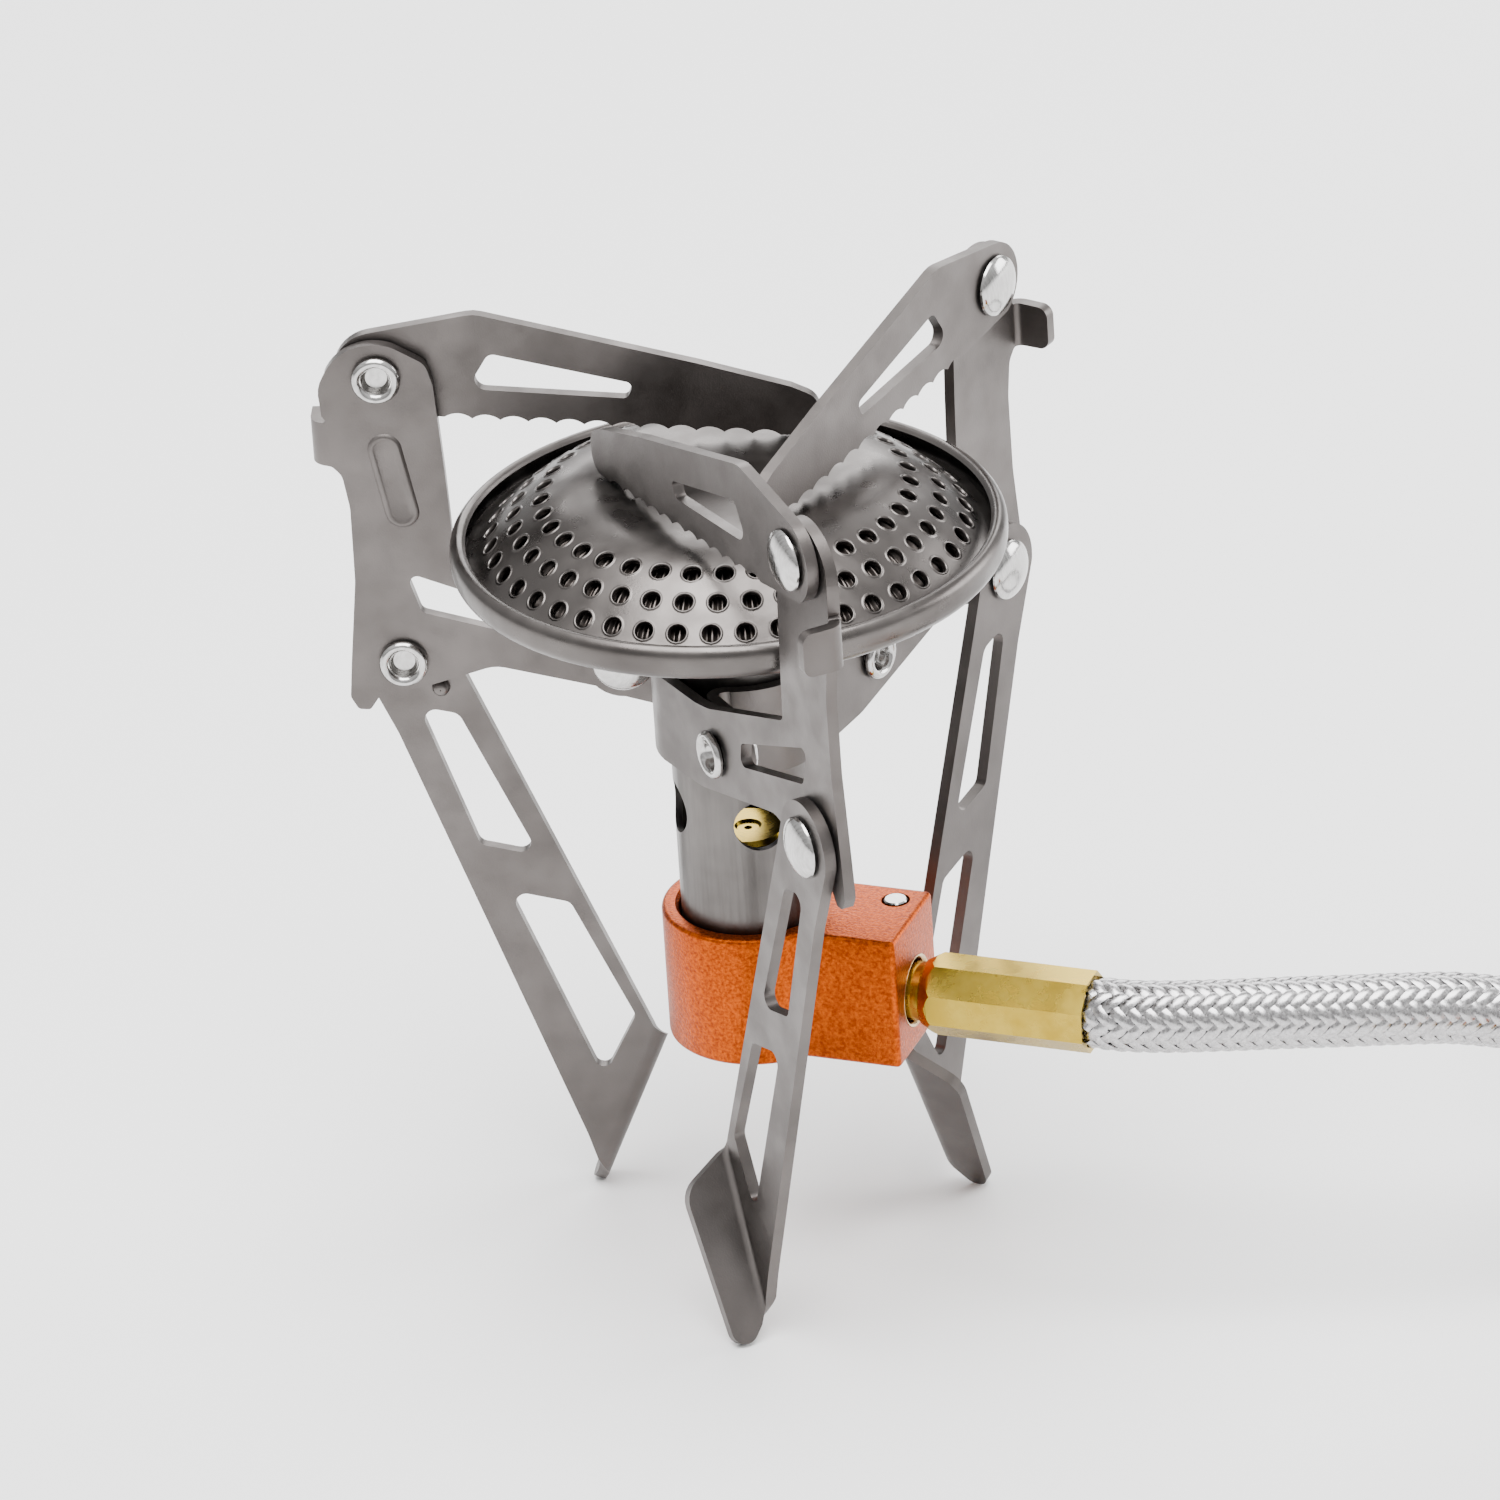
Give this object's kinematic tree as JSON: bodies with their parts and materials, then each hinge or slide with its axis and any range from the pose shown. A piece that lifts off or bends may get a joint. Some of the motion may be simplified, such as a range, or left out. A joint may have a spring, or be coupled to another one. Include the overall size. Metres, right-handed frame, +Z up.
{
  "type": "remote canister camping stove",
  "caption": "Folding camping gas burner on hinged sheet legs with fold-in pot arms, a brass hose fitting, a braided hose and a canister valve.",
  "frame": {"origin": "bottom centre of the stove's own box, without the hose and canister valve: on the surface the feet stand on", "axes": "+Z up along the mixing tube, +X the way the hose fitting points"},
  "size_m": [0.2121, 0.1654, 0.1098],
  "materials": {
    "titanium_plate": "blasted grey-brown titanium sheet",
    "burner_titanium": "satin pressed titanium",
    "tube_titanium": "satin drawn titanium tube",
    "rivet_steel": "polished stainless steel",
    "orange_anodised": "bead-blasted orange anodised aluminium",
    "brass": "bright turned brass",
    "braided_steel": "bright stainless steel braid",
    "seal_rubber": "matte black rubber"
  },
  "bodies": {
    "stove": {"support_plate_1": "titanium_plate", "arm_rivet_1": "rivet_steel", "leg_rivet_1": "rivet_steel", "plate_rivet_1": "rivet_steel", "support_plate_2": "titanium_plate", "arm_rivet_2": "rivet_steel", "leg_rivet_2": "rivet_steel", "plate_rivet_2": "rivet_steel", "support_plate_3": "titanium_plate", "arm_rivet_3": "rivet_steel", "leg_rivet_3": "rivet_steel", "plate_rivet_3": "rivet_steel", "burner_head": "burner_titanium", "burner_bowl": "burner_titanium", "mixing_tube": "tube_titanium", "jet": "brass", "valve_block": "orange_anodised", "retaining_pin": "rivet_steel", "hose_ferrule": "brass", "hose": "braided_steel", "canister_ferrule": "brass", "canister_valve_body": "orange_anodised", "canister_collar": "brass", "canister_seal": "seal_rubber"},
    "arm_1": {"pot_arm_1": "titanium_plate"},
    "arm_2": {"pot_arm_2": "titanium_plate"},
    "arm_3": {"pot_arm_3": "titanium_plate"},
    "leg_1": {"leg_1": "titanium_plate"},
    "leg_2": {"leg_2": "titanium_plate"},
    "leg_3": {"leg_3": "titanium_plate"},
    "valve_control": {"canister_knob": "orange_anodised", "canister_spindle": "brass"}
  },
  "joints": [
    {"name": "leg_fold_1", "type": "hinge", "parent": "stove", "child": "leg_1", "pos_m": [0.0228, 0.03351, 0.06864], "axis": [0.9744, -0.225, 0], "range_deg": [0, 63]},
    {"name": "leg_fold_2", "type": "hinge", "parent": "stove", "child": "leg_2", "pos_m": [-0.03461, -0.00152, 0.06864], "axis": [-0.2924, 0.9563, 0], "range_deg": [0, 63]},
    {"name": "leg_fold_3", "type": "hinge", "parent": "stove", "child": "leg_3", "pos_m": [0.02443, -0.03373, 0.06864], "axis": [-0.682, -0.7314, 0], "range_deg": [0, 63]},
    {"name": "arm_fold_1", "type": "hinge", "parent": "stove", "child": "arm_1", "pos_m": [0.02295, 0.03414, 0.10324], "axis": [-0.9744, 0.225, 0], "range_deg": [0, 173]},
    {"name": "arm_fold_2", "type": "hinge", "parent": "stove", "child": "arm_2", "pos_m": [-0.03524, -0.00171, 0.10324], "axis": [0.2924, -0.9563, 0], "range_deg": [0, 173]},
    {"name": "arm_fold_3", "type": "hinge", "parent": "stove", "child": "arm_3", "pos_m": [0.02491, -0.03417, 0.10324], "axis": [0.682, 0.7314, 0], "range_deg": [0, 173]},
    {"name": "valve_turn", "type": "hinge", "parent": "stove", "child": "valve_control", "pos_m": [0.11601, 0.00406, 0.0153], "axis": [0.5592, -0.829, 0], "range_deg": [0, 330]}
  ]
}
